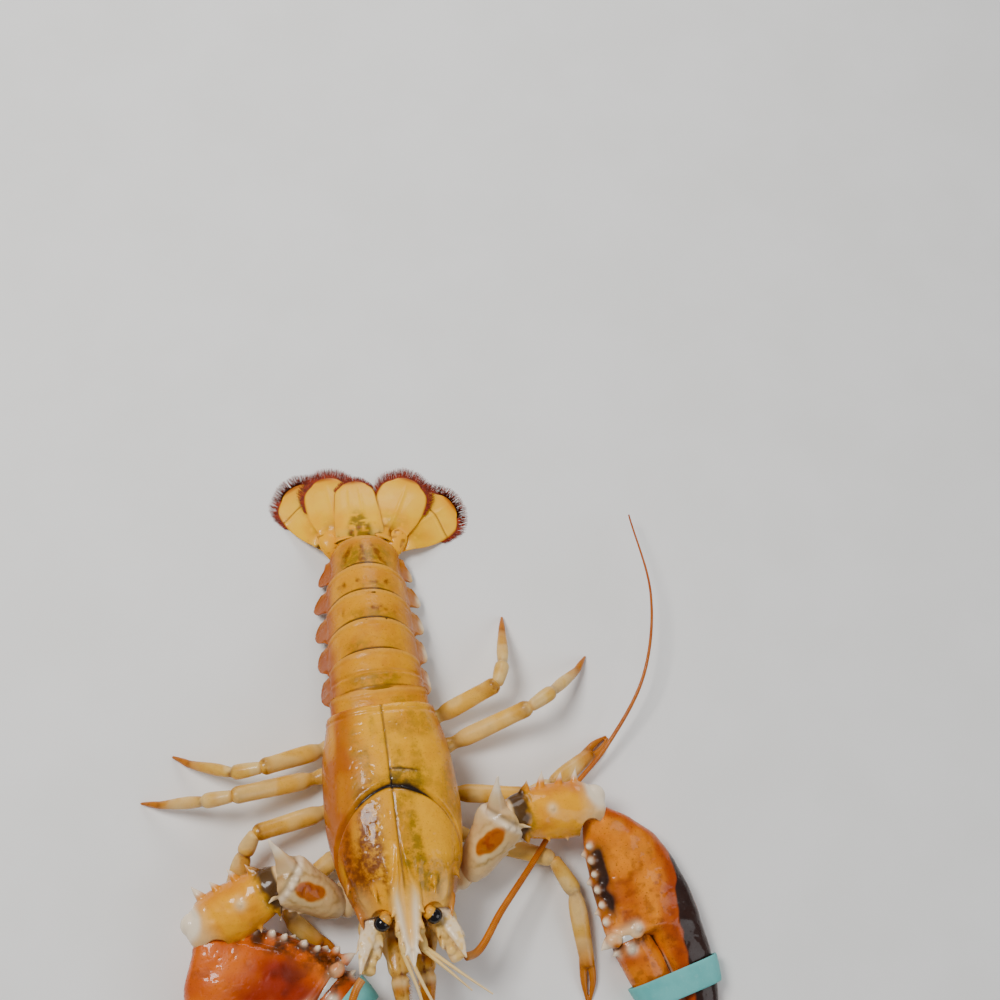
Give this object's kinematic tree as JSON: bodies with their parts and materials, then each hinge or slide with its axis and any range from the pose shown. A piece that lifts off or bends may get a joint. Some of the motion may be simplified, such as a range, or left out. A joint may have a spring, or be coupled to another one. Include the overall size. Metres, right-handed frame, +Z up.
{
  "type": "american lobster",
  "caption": "Life-size American lobster model standing on claws, leg tips and tail fan, with a jointed golden-orange shell and its two claws held shut by rubber bands.",
  "frame": {"origin": "on the floor, under the middle of the bounding box", "axes": "+Z up; the head looks along -Y and the tail fan lies toward +Y; +X is the animal's left side"},
  "size_m": [0.3278, 0.339, 0.0583],
  "materials": {
    "shell": "wet, glossy shell, mottled golden orange to orange-brown",
    "tail": "wet, glossy plates, golden brown with orange-red sides",
    "fan": "thin, slightly translucent yellow blades with a dark fringe",
    "claw": "glossy orange claw shell, red-brown to black-brown along its outer side",
    "pale": "pale cream limbs with brown joints",
    "feeler": "ringed orange feelers",
    "eye": "black, very glossy cornea on a short stalk",
    "band": "matte teal rubber band"
  },
  "bodies": {
    "root": {"abdomen_1": "tail", "abdomen_2": "tail", "abdomen_3": "tail", "abdomen_4": "tail", "abdomen_5": "tail", "abdomen_6": "tail", "antenna_base_left": "pale", "antenna_base_right": "pale", "antenna_left_1": "feeler", "antenna_left_2": "feeler", "antenna_right_1": "feeler", "antenna_right_2": "feeler", "antennule_left": "pale", "antennule_right": "pale", "carapace": "shell", "claw_band_left": "band", "claw_band_right": "band", "claw_carpus_left": "claw", "claw_carpus_right": "claw", "claw_finger_left": "claw", "claw_finger_right": "claw", "claw_hand_left": "claw", "claw_hand_right": "claw", "claw_ischium_left": "pale", "claw_ischium_right": "pale", "claw_merus_left": "claw", "claw_merus_right": "claw", "eye_left": "eye", "eye_right": "eye", "leg_left_2_lower": "pale", "leg_left_2_upper": "pale", "leg_left_3_lower": "pale", "leg_left_3_upper": "pale", "leg_left_4_lower": "pale", "leg_left_4_upper": "pale", "leg_left_5_lower": "pale", "leg_left_5_upper": "pale", "leg_right_2_lower": "pale", "leg_right_2_upper": "pale", "leg_right_3_lower": "pale", "leg_right_3_upper": "pale", "leg_right_4_lower": "pale", "leg_right_4_upper": "pale", "leg_right_5_lower": "pale", "leg_right_5_upper": "pale", "maxilliped_left": "pale", "maxilliped_right": "pale", "mouthparts": "pale", "sternum": "pale", "telson": "fan", "uropod_inner_left": "fan", "uropod_inner_right": "fan", "uropod_outer_left": "fan", "uropod_outer_right": "fan"}
  },
  "joints": []
}
